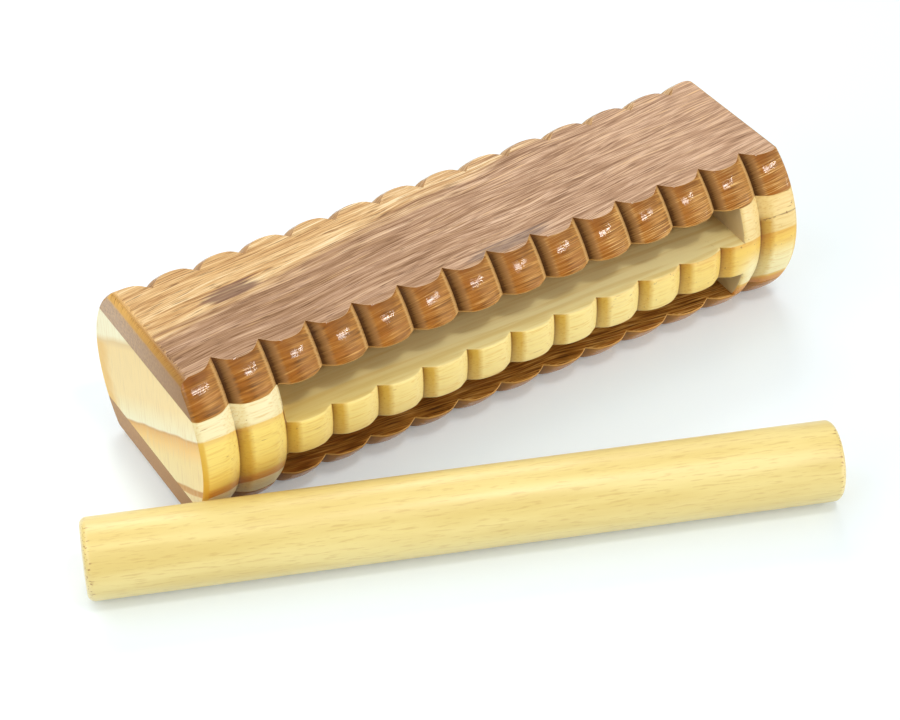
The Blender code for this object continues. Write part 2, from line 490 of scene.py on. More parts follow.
def add(tree, kind, inputs=(), stops=(), **settings):
    """Add one node: settings by name, inputs in order or by name, and the stops of a colour ramp."""
    made = tree.nodes.new("ShaderNode" + kind)
    for name, value in settings.items():
        setattr(made, name, value)
    for i, (place, code) in enumerate(stops):
        elements = made.color_ramp.elements
        stop = elements[i] if i < len(elements) else elements.new(place)
        stop.position = place
        stop.color = colour(code)
    shown = [socket for socket in made.inputs if socket.enabled]
    named = {socket.name: socket for socket in shown}
    pairs = inputs.items() if isinstance(inputs, dict) else enumerate(inputs)
    for key, value in pairs:
        socket = named[key] if isinstance(key, str) else shown[key]
        if isinstance(value, bpy.types.Node):
            value = next(out for out in value.outputs if out.enabled)
        if isinstance(value, bpy.types.NodeSocket):
            tree.links.new(value, socket)
        else:
            socket.default_value = value
    return made


def new_finish(name):
    """Empty material, its node tree, the place in mm and the way the face looks."""
    material = bpy.data.materials.new(name)
    material.use_nodes = True
    tree = material.node_tree
    tree.nodes.clear()
    place = add(tree, "TexCoord")
    mm = add(tree, "Mapping", {"Vector": place.outputs["Object"], "Scale": PER_MM})
    facing = add(tree, "SeparateXYZ", (place.outputs["Normal"],))
    return material, tree, mm, facing


# %% [markdown]
# ## Grain
# Wood cells are long and thin, and so is every mark that they make. One noise, drawn out along the board,
# gives them all: streaks, fine lines, pores, threads and resin dashes differ only in length and width.
# The rings that the lathe tool left are the same noise, drawn out round the block instead.

# %% Grain pattern
SMOOTH = {"interpolation_type": "SMOOTHSTEP"}
COLOURS = {"data_type": "RGBA"}
STAIN = {"data_type": "RGBA", "blend_type": "MULTIPLY"}
# Length along the block and width in mm. Real tool marks are finer, too fine to show in the render.
LATHE_RING = (0.5, 25)


def grain(tree, mm, size, detail=2.0):
    """Noise in cells of a length along the block and a width across it, in mm."""
    length, width = size
    drawn = add(tree, "Mapping", {"Vector": mm, "Scale": (1 / length, 1 / width, 1 / width)})
    return add(tree, "TexNoise", {"Vector": drawn, "Scale": 1.0, "Detail": detail})


# %% [markdown]
# ## Hardwood: which face is which
# The turned beads are varnished, the flats are only sanded, and the ends are sawn. Inside the slots the
# varnish stained the plates but left no gloss. These faces differ in the way that they look, so the
# normal tells them apart. That needs no list of faces, and it blends softly over an eased edge.

# %% Hardwood faces
def hardwood_faces(tree, mm, facing):
    """Shares of the kinds of face at a place, and how far it looks away from the axis."""
    upright = add(tree, "Math", (facing.outputs["Z"],), operation="ABSOLUTE")
    sideways = add(tree, "Math", (facing.outputs["Y"],), operation="ABSOLUTE")
    endways = add(tree, "Math", (facing.outputs["X"],), operation="ABSOLUTE")
    end = add(tree, "MapRange", (endways, 0.86, 0.96), **SMOOTH)
    side = add(tree, "MapRange", (upright, 0.95, 0.84), **SMOOTH)
    turned = add(tree, "Math", (side, end), operation="SUBTRACT", use_clamp=True)
    # Marks on the beads, their painted shade and light too, are strongest in front and fade towards the
    # back.
    front = add(tree, "MapRange", (facing.outputs["Y"], 0.3, -0.3, 0.1, 1.0), **SMOOTH)
    front_side = add(tree, "Math", (turned, front), operation="MULTIPLY")

    # Outward is 1 on the top plate and -1 on the bottom one, so both plates count away from the axis.
    height = add(tree, "SeparateXYZ", (mm,)).outputs["Z"]
    outward = add(tree, "MapRange", (height, AXIS_HEIGHT / MM - 0.1, AXIS_HEIGHT / MM + 0.1, -1.0, 1.0))
    away = add(tree, "Math", (facing.outputs["Z"], outward), operation="MULTIPLY")
    inner = add(tree, "MapRange", (away, -0.84, -0.95), **SMOOTH)
    wet = add(tree, "Math", (turned, inner), operation="ADD", use_clamp=True)
    # The eased free rims along the slots, which get a painted highlight.
    eased = add(tree, "MapRange", (away, 0.38, 0.1, 0.0, 0.75), **SMOOTH)
    free_rim_highlight = add(tree, "Math", (eased, turned), operation="MULTIPLY")
    return SimpleNamespace(
        end=end, turned=turned, front_side=front_side, wet=wet, free_rim_highlight=free_rim_highlight,
        outward=outward, away=away, sideways=sideways, endways=endways,
    )


# %% [markdown]
# ## Hardwood: the grain
# The plates are an open-pored brown hardwood, and its colour lies in fine lines along the board. They run
# a little askew and sway, as in any board. Cut straight through the solid, the lines would follow each
# bead's curve like the contours on a map. So on a turned side the place is measured along the block and
# round its axis, and the lines run straight along every bead.

# %% Hardwood grain
FLAT_LEAN = math.radians(-5)
SIDE_LEAN = math.radians(4)
# Length and width in mm. The finest real lines are too fine to show in the render and are left out.
SWAY = (45, 12)
FINE_LINE = (11, 0.28)
STREAK = (36, 1.8)
SWAY_WIDTH = 5.0
# Where along X, in mm, the flats begin to grow paler under a painted sheen, and where they are palest.
PALER_RIGHT = (-45.0, 95.0)


def swaying(tree, mm, lean):
    """Place in mm along the grain, which leans by an angle and sways."""
    leaning = add(tree, "Mapping", {"Vector": mm, "Rotation": (0, 0, lean)})
    wave = grain(tree, mm, SWAY, 1.0).outputs["Color"]
    centred = add(tree, "VectorMath", (wave, (0.5, 0.5, 0.5)), operation="SUBTRACT")
    sway = add(tree, "VectorMath", (centred, (0.0, SWAY_WIDTH, 0.0)), operation="MULTIPLY")
    return add(tree, "VectorMath", (leaning, sway), operation="ADD")


def rolled(tree, mm):
    """Place on a turned side in mm: along the block, and round its axis."""
    at = add(tree, "SeparateXYZ", (mm,))
    up = add(tree, "Math", (at.outputs["Z"], AXIS_HEIGHT / MM), operation="SUBTRACT")
    angle = add(tree, "Math", (up, at.outputs["Y"]), operation="ARCTAN2")
    around = add(tree, "Math", (angle, CREST_RADIUS / MM), operation="MULTIPLY")
    return add(tree, "CombineXYZ", (at.outputs["X"], around))


def hardwood_marks(tree, mm, wet):
    """Place in mm, also along the grain, with the lines and streaks there and how far right it lies."""
    on_flat = swaying(tree, mm, FLAT_LEAN)
    on_side = swaying(tree, rolled(tree, mm), SIDE_LEAN)
    along = add(tree, "Mix", (wet, on_flat, on_side), data_type="VECTOR")
    fine = grain(tree, along, FINE_LINE, 3.0)
    streak = grain(tree, along, STREAK, 3.0)
    ragged = add(tree, "MapRange", (streak, 0.0, 1.0, -0.28, 0.28))
    at = add(tree, "SeparateXYZ", (mm,))
    rightward = add(tree, "MapRange", (at.outputs["X"], *PALER_RIGHT))
    return SimpleNamespace(
        mm=mm, x=at.outputs["X"], y=at.outputs["Y"], along=along, fine=fine, streak=streak,
        ragged=ragged, rightward=rightward,
    )


# %% [markdown]
# ## Hardwood: the sanded flats
# Sanding laid the wood's own colour bare on the flats: mauve-brown heartwood in front and golden sapwood
# towards the back left corner. To the right both are painted paler, a painted sheen with a pink cast, and
# there the lines also stand out more. Two old stains lie on the upper flat and run out along the lines. A
# ramp from dark to light, read with the pattern of lines, gives each kind of wood.

# %% Flats
HEARTWOOD = ((0.27, "#765234"), (0.40, "#997453"), (0.50, "#AC8666"), (0.60, "#BE997B"), (0.74, "#E0BFA0"))
SAPWOOD = ((0.27, "#A07346"), (0.40, "#C99A62"), (0.50, "#DBB177"), (0.60, "#EAC892"), (0.74, "#FFECC2"))
# The border runs askew, and the wood changes over these mm across it.
SAPWOOD_ACROSS = (-0.165, 1.0, 0.0)
SAPWOOD_BORDER = (9.0, 16.0)
# Middle and half size in mm, colour and strength.
STAINS = (((-65.6, 10.2), (8.6, 2.3), "#74544A", 0.8), ((6.5, -17.0), (13.0, 2.0), "#7E726C", 0.5))


def stained(tree, marks, wood):
    """Wood with the two stains on the upper flat, which run out along its fine lines."""
    for middle, size, code, strength in STAINS:
        shrink = (1 / size[0], 1 / size[1], 0.0)
        to_middle = (-middle[0] / size[0], -middle[1] / size[1], 0.0)
        spot = add(tree, "Mapping", {"Vector": marks.along, "Location": to_middle, "Scale": shrink})
        away = add(tree, "VectorMath", (spot,), operation="LENGTH").outputs["Value"]
        streaked = add(tree, "Math", (marks.fine, 1.3, away), operation="MULTIPLY_ADD")
        frayed = add(tree, "Math", (streaked, marks.ragged), operation="ADD")
        soaked = add(tree, "MapRange", (frayed, 1.95, 1.4, 0.0, strength), **SMOOTH)
        wood = add(tree, "Mix", (soaked, wood, colour(code)), **COLOURS)
    return wood


def hardwood_flat(tree, marks):
    """Colour of the sanded flats, and that of the sapwood alone."""
    # Painted sheen: towards the right the lines are read paler, and further down a pink haze is mixed in.
    paler = add(tree, "Math", (marks.rightward, 0.06, marks.ragged), operation="MULTIPLY_ADD")
    centred = add(tree, "Math", (marks.fine, 0.5), operation="SUBTRACT")
    contrast = add(tree, "MapRange", (marks.rightward, 0.05, 0.5, 0.95, 1.75))
    drawn = add(tree, "Math", (centred, contrast, 0.5), operation="MULTIPLY_ADD")
    lines = add(tree, "Math", (drawn, paler), operation="ADD")
    heart = add(tree, "ValToRGB", (lines,), HEARTWOOD)
    sap = add(tree, "ValToRGB", (lines,), SAPWOOD)
    across = add(tree, "VectorMath", (marks.mm, SAPWOOD_ACROSS), operation="DOT_PRODUCT").outputs["Value"]
    frayed = add(tree, "Math", (marks.ragged, 30.0, across), operation="MULTIPLY_ADD")
    back = add(tree, "MapRange", (frayed, *SAPWOOD_BORDER, 0.0, 0.9), **SMOOTH)
    two_tone = add(tree, "Mix", (back, heart, sap), **COLOURS)
    sheen_right = add(tree, "Math", (marks.rightward, 0.3), operation="MULTIPLY")
    flat = add(tree, "Mix", (sheen_right, two_tone, colour("#DDB597")), **COLOURS)
    return stained(tree, marks, flat), sap


# %% [markdown]
# ## Hardwood: the wood under the varnish
# Varnish makes the turned sides darker and warmer. There the lines are soft on the left and crisper and
# brighter to the right, some streaks are ruddy, and the back is golden like the sapwood. Open pores are
# short dark dashes over all of it.

# %% Turned sides and pores
VARNISHED = ((0.27, "#5C350F"), (0.40, "#925B21"), (0.50, "#B07632"), (0.60, "#CC9248"), (0.74, "#F4C97E"))
# Length and width in mm. Real pores are about half as wide, too fine to show in the render.
SOFT_LINE = (9, 0.8)
PORE = (6, 0.28)
# Where each change begins and ends in mm, two along X and one along Y.
CRISP_RIGHT = (-80.0, 40.0)
BRIGHT_RIGHT = (-90.0, 60.0)
GOLDEN_BACK = (0.0, 8.0)


def hardwood_side(tree, marks, sap):
    """Colour of the turned sides, golden like the sapwood behind."""
    crisp = add(tree, "MapRange", (marks.x, *CRISP_RIGHT, 0.35, 0.85))
    soft = grain(tree, marks.along, SOFT_LINE)
    lines = add(tree, "Mix", (crisp, soft, marks.fine))
    streaked = add(tree, "Math", (marks.ragged, 0.25, lines), operation="MULTIPLY_ADD")
    centred = add(tree, "Math", (streaked, 0.5), operation="SUBTRACT")
    contrast = add(tree, "MapRange", (marks.x, *CRISP_RIGHT, 1.2, 1.55))
    bright = add(tree, "MapRange", (marks.x, *BRIGHT_RIGHT, 0.435, 0.505))
    drawn = add(tree, "Math", (centred, contrast, bright), operation="MULTIPLY_ADD")
    brown = add(tree, "ValToRGB", (drawn,), VARNISHED)
    ruddy = add(tree, "MapRange", (marks.streak, 0.52, 0.66, 0.0, 0.5), **SMOOTH)
    ruddied = add(tree, "Mix", (ruddy, brown, colour("#96521C")), **COLOURS)
    behind = add(tree, "MapRange", (marks.y, *GOLDEN_BACK, 0.0, 0.45))
    return add(tree, "Mix", (behind, ruddied, sap), **COLOURS)


def hardwood_colour(tree, marks, wet):
    """Colour of the wood with its pores, browner where it is wet with varnish."""
    flat, sap = hardwood_flat(tree, marks)
    side = hardwood_side(tree, marks, sap)
    wood = add(tree, "Mix", (wet, flat, side), **COLOURS)
    depth = add(tree, "MapRange", (marks.rightward, 0.0, 1.0, 0.6, 0.45))
    pores = add(tree, "MapRange", (grain(tree, marks.along, PORE, 1.0), 0.6, 0.7, 0.0, depth), **SMOOTH)
    return add(tree, "Mix", (pores, wood, colour("#5A3C26")), **COLOURS)


# %% [markdown]
# ## Hardwood: the beads
# The tool tore the left flank of every notch, so that flank drank more varnish. Painted shade darkens it
# further, most at the notch line, where the notch's shadow falls and the bead beside it hides the light. A
# painted highlight makes a pale strip on the right flank, which faces the lamps on the right, and painted
# shade darkens the notch line at its foot. The ridge beside the left flank is amber and the crown past it
# paler. All of it fades towards the back. The share of the way along a bead gives them all, frayed by the
# fine lines, so that no border is a clean ring.

# %% Beads
FLANK_SOAK_SHADE_AND_LIGHT = (
    (0.0, "#3C2106"), (0.05, "#4E2F0D"), (0.085, "#724D24"), (0.13, "#8A6033"), (0.2, "#A07242"),
    (0.86, "#CC9854"), (0.95, "#E2B876"), (1.0, "#8A6036"),
)


def along_bead(tree, mm):
    """Share of the way along a bead, from the notch on its left to the one on its right."""
    x = add(tree, "SeparateXYZ", (mm,)).outputs["X"]
    notches = (FIRST_NOTCH / MM, LAST_NOTCH / MM)
    beads = add(tree, "MapRange", (x, *notches, 0.0, NOTCH_COUNT - 1.0), clamp=False)
    return add(tree, "Math", (beads,), operation="FRACT")


def hardwood_bead(tree, marks, faces, bead, wood):
    """Wood with its beads varnished, painted shade and light on their flanks, and the share of torn flank on
    the left of each.
    """
    # Painted shade on the left flank and at the notch lines, and a painted highlight on the right flank,
    # mixed in with the soaked torn flank.
    torn = add(tree, "Math", (marks.fine, 0.5), operation="SUBTRACT")
    ruffled = add(tree, "Math", (torn, 0.12, bead), operation="MULTIPLY_ADD")
    flanks = add(tree, "ValToRGB", (ruffled,), FLANK_SOAK_SHADE_AND_LIGHT)
    frayed = add(tree, "Math", (marks.fine, 0.1, bead), operation="MULTIPLY_ADD")
    left = add(tree, "MapRange", (frayed, 0.31, 0.2, 0.0, 0.95), **SMOOTH)
    right = add(tree, "MapRange", (frayed, 0.92, 0.98, 0.0, 0.65), **SMOOTH)
    flank = add(tree, "Math", (left, right), operation="MAXIMUM")
    soaked = add(tree, "Math", (flank, faces.front_side), operation="MULTIPLY")

    ridge_start = add(tree, "MapRange", (frayed, 0.24, 0.32), **SMOOTH)
    ridge_end = add(tree, "MapRange", (frayed, 0.56, 0.38, 0.0, 0.5), **SMOOTH)
    by_ridge = add(tree, "Math", (ridge_start, ridge_end), operation="MULTIPLY")
    amber = add(tree, "Math", (by_ridge, faces.front_side), operation="MULTIPLY")
    ridged = add(tree, "Mix", (amber, wood, colour("#A5621A")), **COLOURS)
    past_ridge = add(tree, "MapRange", (frayed, 0.46, 0.66, 0.0, 0.2), **SMOOTH)
    crown = add(tree, "Math", (past_ridge, faces.front_side), operation="MULTIPLY")
    crowned = add(tree, "Mix", (crown, ridged, colour("#D8A66C")), **COLOURS)
    return add(tree, "Mix", (soaked, crowned, flanks), **COLOURS), left


# %% [markdown]
# ## Hardwood: rims and ends
# Hands and sandpaper wear a board at its edges. The free rims along the slots are painted golden: a painted
# highlight standing for the light that the pine below throws up on them. The rims of the flats are painted
# pale: a painted highlight where the eased edge catches the lamps. Just below those the sides are darker.
# The flats also round over at their ends, golden behind and browner in front. The sawn ends show dull end
# grain.

# %% Rims and ends
# Where along Y, in mm, the ends begin to grow browner, and where they are brownest.
END_FORWARD = (14.0, -26.0)
END_CELLS_PER_MM = 1.2
END_GRAIN = ((0.35, "#B89A80"), (0.5, "#C5A68A"), (0.66, "#D2B28A"))


def hardwood_rim(tree, faces, wood):
    """Wood darker high on its sides, a warmer lower plate, and painted highlights on its rims."""
    high = add(tree, "MapRange", (faces.away, 0.66, 0.77, 0.0, 0.45), **SMOOTH)
    upper = add(tree, "Math", (high, faces.front_side), operation="MULTIPLY")
    topped = add(tree, "Mix", (upper, wood, colour("#7A4414")), **COLOURS)
    below = add(tree, "MapRange", (faces.outward, 1.0, -1.0, 0.0, 0.4))
    low_side = add(tree, "Math", (below, faces.turned), operation="MULTIPLY")
    warmer = add(tree, "Mix", (low_side, topped, colour("#C88C44")), **COLOURS)
    # Painted highlight: the free rims along the slots, as lit by light thrown up from the pine below.
    slot_rim_highlighted = add(tree, "Mix", (faces.free_rim_highlight, warmer, colour("#DFAC60")), **COLOURS)

    # Painted highlight: a pale line where the eased rim of a flat catches the lamps.
    turning = add(tree, "MapRange", (faces.away, 0.84, 0.9), **SMOOTH)
    before_flat = add(tree, "MapRange", (faces.away, 0.995, 0.97, 0.0, 0.6), **SMOOTH)
    rim = add(tree, "Math", (turning, before_flat), operation="MULTIPLY")
    crosswise = add(tree, "MapRange", (faces.sideways, 0.08, 0.2), **SMOOTH)
    flat_rim_highlight = add(tree, "Math", (rim, crosswise), operation="MULTIPLY")
    return add(tree, "Mix", (flat_rim_highlight, slot_rim_highlighted, colour("#E3C094")), **COLOURS)


def hardwood_end(tree, marks, faces, wood):
    """Wood with golden rounds at the ends of its flats, and dull end grain, browner on the lower plate."""
    forward = add(tree, "MapRange", (marks.y, *END_FORWARD))
    lengthwise = add(tree, "MapRange", (faces.sideways, 0.3, 0.15), **SMOOTH)
    worn = add(tree, "Math", (marks.fine, 2.4, faces.endways), operation="MULTIPLY_ADD")
    rounded = add(tree, "MapRange", (worn, 1.35, 1.95, 0.0, 0.8), **SMOOTH)
    round_end = add(tree, "Math", (lengthwise, rounded), operation="MULTIPLY")
    gold = add(tree, "Mix", (forward, colour("#E8B662"), colour("#9C7036")), **COLOURS)
    golden = add(tree, "Mix", (round_end, wood, gold), **COLOURS)

    cells = add(tree, "TexNoise", {"Vector": marks.mm, "Scale": END_CELLS_PER_MM, "Detail": 3.0})
    dull = add(tree, "ValToRGB", (cells,), END_GRAIN)
    darker = add(tree, "Math", (forward, 0.9), operation="MULTIPLY")
    shaded = add(tree, "Mix", (darker, dull, colour("#9C7650")), **COLOURS)
    lower = add(tree, "MapRange", (faces.outward, 1.0, -1.0, 0.0, 0.65))
    browner = add(tree, "Mix", (lower, shaded, colour("#BC9064")), **COLOURS)
    return add(tree, "Mix", (faces.end, golden, browner), **COLOURS)


# %% [markdown]
# ## Hardwood: relief and gloss
# The fine lines stand in the surface, and the lathe left rings on the turned sides. Varnish is a clear
# coat over that, which evens most of it out, so the coat gets a weaker bump of its own. It is broken along
# the lines, and it is worn off the right of each crown and next to the slots. The torn flanks soaked it up.

# %% Hardwood finish
RELIEF = 0.15 * MM


def hardwood_gloss(tree, marks, faces, bead, smooth):
    """Share of glossy varnish: on the smooth beads, broken along the lines and worn off in places."""
    broken = add(tree, "MapRange", (marks.fine, 0.43, 0.55, 0.1, 1.0))
    right_crown = add(tree, "MapRange", (bead, 0.68, 0.78), **SMOOTH)
    by_slot = add(tree, "MapRange", (faces.away, 0.55, 0.47), **SMOOTH)
    rubbed_dry = add(tree, "Math", (right_crown, by_slot), operation="MAXIMUM")
    varnished = add(tree, "Math", (smooth, rubbed_dry), operation="SUBTRACT", use_clamp=True)
    return add(tree, "Math", (varnished, broken), operation="MULTIPLY")


def hardwood_finish():
    """Open-pored hardwood under varnish."""
    material, tree, mm, facing = new_finish("varnished_hardwood")
    faces = hardwood_faces(tree, mm, facing)
    marks = hardwood_marks(tree, mm, faces.wet)
    bead = along_bead(tree, mm)
    wood = hardwood_colour(tree, marks, faces.wet)
    beads, torn_flank = hardwood_bead(tree, marks, faces, bead, wood)
    rims = hardwood_rim(tree, faces, beads)
    ends = hardwood_end(tree, marks, faces, rims)

    lathe = add(tree, "Math", (grain(tree, mm, LATHE_RING), faces.turned), operation="MULTIPLY")
    relief = add(tree, "Math", (lathe, 0.6, marks.fine), operation="MULTIPLY_ADD")
    bump = add(tree, "Bump", {"Height": relief, "Strength": 0.35, "Distance": RELIEF})
    skin = add(tree, "Bump", {"Height": relief, "Strength": 0.08, "Distance": RELIEF})
    smooth = add(tree, "Math", (faces.turned, torn_flank), operation="SUBTRACT", use_clamp=True)
    roughness = add(tree, "MapRange", (smooth, 0.0, 1.0, 0.52, 0.45))

    # To the eye: sharp glints on the beads, and dry, open wood on the flats. For that the wood itself has
    # an IOR below the usual 1.5, and the varnish over it keeps its own.
    shader = add(tree, "BsdfPrincipled", {
        "Base Color": ends, "Roughness": roughness, "IOR": 1.2, "Normal": bump,
        "Coat Weight": hardwood_gloss(tree, marks, faces, bead, smooth),
        "Coat Roughness": 0.08, "Coat Normal": skin,
    })
    add(tree, "OutputMaterial", (shader,))
    return material


hardwood = hardwood_finish()
for piece in (top_plate, bottom_plate):
    piece.data.materials.append(hardwood)
print("hardwood nodes:", len(hardwood.node_tree.nodes))

# %% [markdown]
# ## Pine: the growth bands
# Pine grows in wide yearly bands, and each ends sharply in a narrow brown line of late wood. The bands are
# sheets through the solid, so one distance through it gives them on every face at once: slanting on the
# end, and straight along the posts and the tongue. Fibres, resin dashes and a few specks lie over them.

# %% Pine bands
BAND_ACROSS = (0.027, 0.5, 0.866)
BAND_LOW = -12.0
BAND_HIGH = 52.0
BANDS = (
    (0.0, "#F5E0A4"), (0.167, "#F6E2AA"), (0.172, "#DA922A"), (0.20, "#E8AE4A"), (0.212, "#F5D266"),
    (0.30, "#FCE27E"), (0.40, "#FBDF78"), (0.43, "#F0C768"), (0.435, "#F8EBB8"), (0.60, "#F8E9B6"),
    (0.655, "#EFC87A"), (0.662, "#FBEBBA"), (0.80, "#F8E3A8"), (0.88, "#EFC87A"), (0.886, "#FBEBBA"),
)
# Length and width of each mark in mm. Real fibres are far finer, too fine to show in the render.
BAND_SWAY = (60, 14)
FIBRE = (22, 0.7)
RESIN_DASH = (9, 0.55)
SPECKS_PER_MM = 0.9
# Where along X, in mm, the specks begin, and where they are darkest.
SPECKED_RIGHT = (10.0, 60.0)


def pine_marks(tree, mm):
    """Place in mm, the fibres there, and how far through the growth bands it lies."""
    wave = grain(tree, mm, BAND_SWAY, 1.0)
    sway = add(tree, "MapRange", (wave, 0.0, 1.0, 1.5, 3.6))
    through = add(tree, "VectorMath", (mm, BAND_ACROSS), operation="DOT_PRODUCT").outputs["Value"]
    swayed = add(tree, "Math", (through, sway), operation="ADD")
    season = add(tree, "MapRange", (swayed, BAND_LOW, BAND_HIGH))
    at = add(tree, "SeparateXYZ", (mm,))
    reach = add(tree, "Math", (at.outputs["X"],), operation="ABSOLUTE")
    return SimpleNamespace(
        mm=mm, x=at.outputs["X"], y=at.outputs["Y"], z=at.outputs["Z"], reach=reach,
        fibre=grain(tree, mm, FIBRE), season=season,
    )


def pine_bands(tree, marks):
    """Colour of the growth bands on the sides, with fibres, resin dashes and specks."""
    bands = add(tree, "ValToRGB", (marks.season,), BANDS)
    fibres = add(tree, "MapRange", (marks.fibre, 0.45, 0.75, 0.0, 0.3), **SMOOTH)
    fibred = add(tree, "Mix", (fibres, bands, colour("#E3BE6A")), **COLOURS)
    dashes = add(tree, "MapRange", (grain(tree, marks.mm, RESIN_DASH, 1.0), 0.73, 0.79, 0.0, 0.75), **SMOOTH)
    dashed = add(tree, "Mix", (dashes, fibred, colour("#A9742F")), **COLOURS)
    rightward = add(tree, "MapRange", (marks.x, *SPECKED_RIGHT, 0.0, 0.7))
    dots = add(tree, "TexNoise", {"Vector": marks.mm, "Scale": SPECKS_PER_MM, "Detail": 1.0})
    specks = add(tree, "MapRange", (dots, 0.72, 0.77, 0.0, rightward), **SMOOTH)
    return add(tree, "Mix", (specks, dashed, colour("#9A6A28")), **COLOURS)


# %% [markdown]
# ## Pine: posts and tongue
# No board is even from end to end. The right post is yellower, but pale above its late wood, and a thin
# dark check, a crack along the fibres, crosses its pale band. The tongue is paler in the middle. Fine
# threads of darker wood run along all of it.

# %% Posts and tongue
# Where along X each change begins and ends in mm, the last one counted from the middle.
YELLOW_RIGHT = (40.0, 85.0)
RIGHT_POST_START = (74.0, 80.0)
PALE_MIDDLE = (75.0, 35.0)
# Share of the way through the bands, and length and width in mm.
CHECK_BAND = 0.503
THREAD = (14, 0.5)


def pine_check(tree, marks):
    """Share of the thin crack on the last bead, open where the fibres parted."""
    from_check = add(tree, "Math", (marks.season, CHECK_BAND), operation="SUBTRACT")
    off_check = add(tree, "Math", (from_check,), operation="ABSOLUTE")
    check = add(tree, "MapRange", (off_check, 0.005, 0.001, 0.0, 0.7), **SMOOTH)
    parted = add(tree, "MapRange", (marks.fibre, 0.40, 0.50), **SMOOTH)
    opened = add(tree, "Math", (check, parted), operation="MULTIPLY")
    last_bead = add(tree, "MapRange", (marks.x, LAST_NOTCH / MM, LAST_NOTCH / MM + 1.0))
    return add(tree, "Math", (opened, last_bead), operation="MULTIPLY")


def pine_side(tree, marks):
    """Colour of the pine's turned sides before the varnish."""
    yellower = add(tree, "MapRange", (marks.x, *YELLOW_RIGHT))
    yellowed = add(tree, "Mix", (yellower, pine_bands(tree, marks), colour("#F9E9C8")), **STAIN)
    right_post = add(tree, "MapRange", (marks.x, *RIGHT_POST_START))
    fading = add(tree, "MapRange", (marks.season, 0.40, 0.28, 0.0, 0.9), **SMOOTH)
    past_late_wood = add(tree, "MapRange", (marks.season, 0.212, 0.222))
    faded = add(tree, "Math", (fading, past_late_wood), operation="MULTIPLY")
    paler = add(tree, "Math", (faded, right_post), operation="MULTIPLY")
    pale_post = add(tree, "Mix", (paler, yellowed, colour("#FFF3BC")), **COLOURS)
    checked = add(tree, "Mix", (pine_check(tree, marks), pale_post, colour("#8A6230")), **COLOURS)
    middle = add(tree, "MapRange", (marks.reach, *PALE_MIDDLE, 0.0, 0.4))
    even = add(tree, "Mix", (middle, checked, colour("#FFF0B8")), **COLOURS)
    threads = add(tree, "MapRange", (grain(tree, marks.mm, THREAD), 0.48, 0.75, 0.0, 0.45), **SMOOTH)
    return add(tree, "Mix", (threads, even, colour("#E6C684")), **STAIN)


# %% [markdown]
# ## Pine: sawn ends
# On the ends the bands show as slanting stripes. The saw left faint strokes across them, and resin near
# the bark, at the back, soaked the wood amber.

# %% Pine ends
END_BANDS = (
    (0.0, "#FFE8AC"), (0.175, "#FFEAB0"), (0.18, "#DDA654"), (0.205, "#D29842"), (0.212, "#FFEFB4"),
    (0.32, "#FFE7A0"), (0.38, "#FFD47C"), (0.422, "#EEB85E"), (0.432, "#D8A04E"), (0.440, "#FFF8CE"),
    (0.49, "#FFF0BC"), (0.56, "#FFE3A0"), (0.77, "#FCDC94"), (0.80, "#EDCC8A"), (0.83, "#FFF6CC"),
)
# Width and height of a stroke, and sizes and places of the resin, in mm.
SAW_STROKE = (0.7, 9)
RESIN_CLOUD = 6.0
BARK_RADIUS = (26.5, 33.0)
BARK_BEHIND = (4.0, 15.0)


def pine_end_grain(tree, marks):
    """Colour of the sawn ends: growth bands, faint saw strokes, and amber resin near the bark behind."""
    bands = add(tree, "ValToRGB", (marks.season,), END_BANDS)
    width, height = SAW_STROKE
    strokes = add(tree, "Mapping", {"Vector": marks.mm, "Scale": (0.0, 1 / width, 1 / height)})
    saw = add(tree, "TexNoise", {"Vector": strokes, "Scale": 1.0, "Detail": 2.0})
    streaks = add(tree, "MapRange", (saw, 0.45, 0.75, 0.0, 0.5), **SMOOTH)
    streaked = add(tree, "Mix", (streaks, bands, colour("#EBCF94")), **COLOURS)

    from_axis = add(tree, "VectorMath", (marks.mm, (0.0, 0.0, AXIS_HEIGHT / MM)), operation="SUBTRACT")
    across = add(tree, "VectorMath", (from_axis, (0.0, 1.0, 1.0)), operation="MULTIPLY")
    radius = add(tree, "VectorMath", (across,), operation="LENGTH").outputs["Value"]
    cloud = add(tree, "TexNoise", {"Vector": marks.mm, "Scale": 1 / RESIN_CLOUD, "Detail": 2.0})
    clouded = add(tree, "Math", (cloud, 8.0, radius), operation="MULTIPLY_ADD")
    near_bark = add(tree, "MapRange", (clouded, *BARK_RADIUS, 0.0, 0.9), **SMOOTH)
    behind = add(tree, "MapRange", (marks.y, *BARK_BEHIND), **SMOOTH)
    below = add(tree, "MapRange", (marks.season, 0.805, 0.775), **SMOOTH)
    bark_side = add(tree, "Math", (near_bark, behind), operation="MULTIPLY")
    resin = add(tree, "Math", (bark_side, below), operation="MULTIPLY")
    return add(tree, "Mix", (resin, streaked, colour("#F3C468")), **COLOURS)


# %% [markdown]
# ## Pine: varnish and slots
# The left flanks drink varnish here too, and painted shade darkens them further: most at the notch lines,
# and high on the tongue just under the top plate. Varnish pooled on the round at each end. The walls at the
# ends of the slots are painted browner with shade. The faces that the saw left inside the slots stay raw:
# streaked, and more amber to the left.

# %% Pine varnish and slots
FLANK_SOAK_AND_SHADE = (
    (0.0, "#7A5A20"), (0.035, "#B0903F"), (0.10, "#CEB66B"), (0.17, "#DCC47E"), (0.28, "#FFFFFF"),
    (0.97, "#FFFFFF"), (1.0, "#E8CC90"),
)
# Where each change begins and ends in mm: two in height, two from the middle along X, and one along X.
FLANK_RISE = (17.0, 30.0)
FLANK_STOP = (33.5, 36.0)
INSIDE_REACH = (90.0, 85.0)
ROUND_REACH = (91.5, 92.5)
SLOT_LEFT = (-10.0, -66.0)
# Length and width in mm.
SLOT_STREAK = (36, 2.2)


